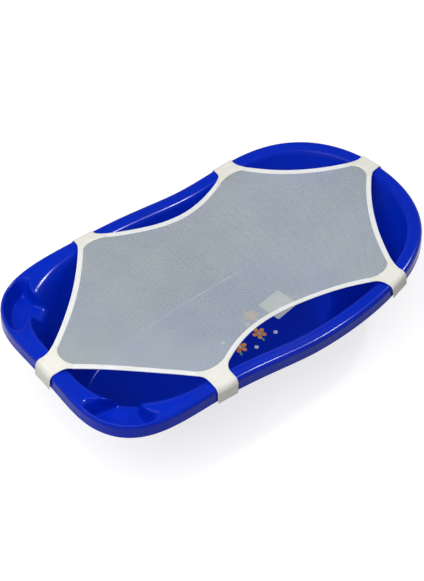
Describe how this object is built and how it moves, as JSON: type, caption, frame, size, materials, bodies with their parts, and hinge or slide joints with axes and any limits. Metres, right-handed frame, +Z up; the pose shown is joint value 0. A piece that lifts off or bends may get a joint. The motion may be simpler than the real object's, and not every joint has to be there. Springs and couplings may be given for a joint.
{
  "type": "baby bathtub with bath net",
  "caption": "Blue moulded baby bathtub with a rolled rim, two soap dishes at the foot and a white bath net clipped over the rim by fabric tabs.",
  "frame": {"origin": "On the ground under the middle of the tub, where its length and width are halved.", "axes": "+X runs along the tub to the rounded head end, +Y across it to the far side, +Z up."},
  "size_m": [0.8517, 0.4787, 0.2254],
  "materials": {
    "blue_plastic": "smooth glossy polypropylene",
    "print_ink": "thin printed film in orange and white",
    "label_film": "blank satin film",
    "white_net": "fine open knitted mesh",
    "binding_tape": "folded woven tape, stitched",
    "tab_fabric": "plain woven ivory fabric, stitched",
    "hook_plastic": "plain moulded white plastic"
  },
  "bodies": {
    "tub": {"tub_shell": "blue_plastic", "floor_print": "print_ink", "floor_label": "label_film", "net_mesh": "white_net", "binding_head": "binding_tape", "binding_far_head": "binding_tape", "binding_far_foot": "binding_tape", "binding_foot": "binding_tape", "binding_near_foot": "binding_tape", "binding_near_head": "binding_tape", "tab_head": "tab_fabric", "tab_far_head": "tab_fabric", "tab_far_foot": "tab_fabric", "tab_foot": "tab_fabric", "tab_near_foot": "tab_fabric", "tab_near_head": "tab_fabric"},
    "clip_head": {"flap_head": "tab_fabric", "hook_head": "hook_plastic"},
    "clip_far_head": {"flap_far_head": "tab_fabric", "hook_far_head": "hook_plastic"},
    "clip_far_foot": {"flap_far_foot": "tab_fabric", "hook_far_foot": "hook_plastic"},
    "clip_foot": {"flap_foot": "tab_fabric", "hook_foot": "hook_plastic"},
    "clip_near_foot": {"flap_near_foot": "tab_fabric", "hook_near_foot": "hook_plastic"},
    "clip_near_head": {"flap_near_head": "tab_fabric", "hook_near_head": "hook_plastic"}
  },
  "joints": [
    {"name": "unhook_head", "type": "hinge", "parent": "tub", "child": "clip_head", "pos_m": [0.42044, 0.03688, 0.21111], "axis": [0.1286, -0.9917, 0.0013], "range_deg": [0, 85]},
    {"name": "unhook_far_head", "type": "hinge", "parent": "tub", "child": "clip_far_head", "pos_m": [0.17805, 0.23642, 0.19104], "axis": [0.985, -0.073, 0.1563], "range_deg": [0, 85]},
    {"name": "unhook_far_foot", "type": "hinge", "parent": "tub", "child": "clip_far_foot", "pos_m": [-0.18009, 0.22813, 0.20827], "axis": [0.997, 0.0498, -0.0586], "range_deg": [0, 85]},
    {"name": "unhook_foot", "type": "hinge", "parent": "tub", "child": "clip_foot", "pos_m": [-0.4227, -0.00367, 0.21149], "axis": [0, 1, 0], "range_deg": [0, 85]},
    {"name": "unhook_near_foot", "type": "hinge", "parent": "tub", "child": "clip_near_foot", "pos_m": [-0.19268, -0.22754, 0.20895], "axis": [-0.9979, 0.0438, 0.0487], "range_deg": [0, 85]},
    {"name": "unhook_near_head", "type": "hinge", "parent": "tub", "child": "clip_near_head", "pos_m": [0.22931, -0.22974, 0.19898], "axis": [-0.9728, -0.1844, -0.1402], "range_deg": [0, 85]}
  ]
}
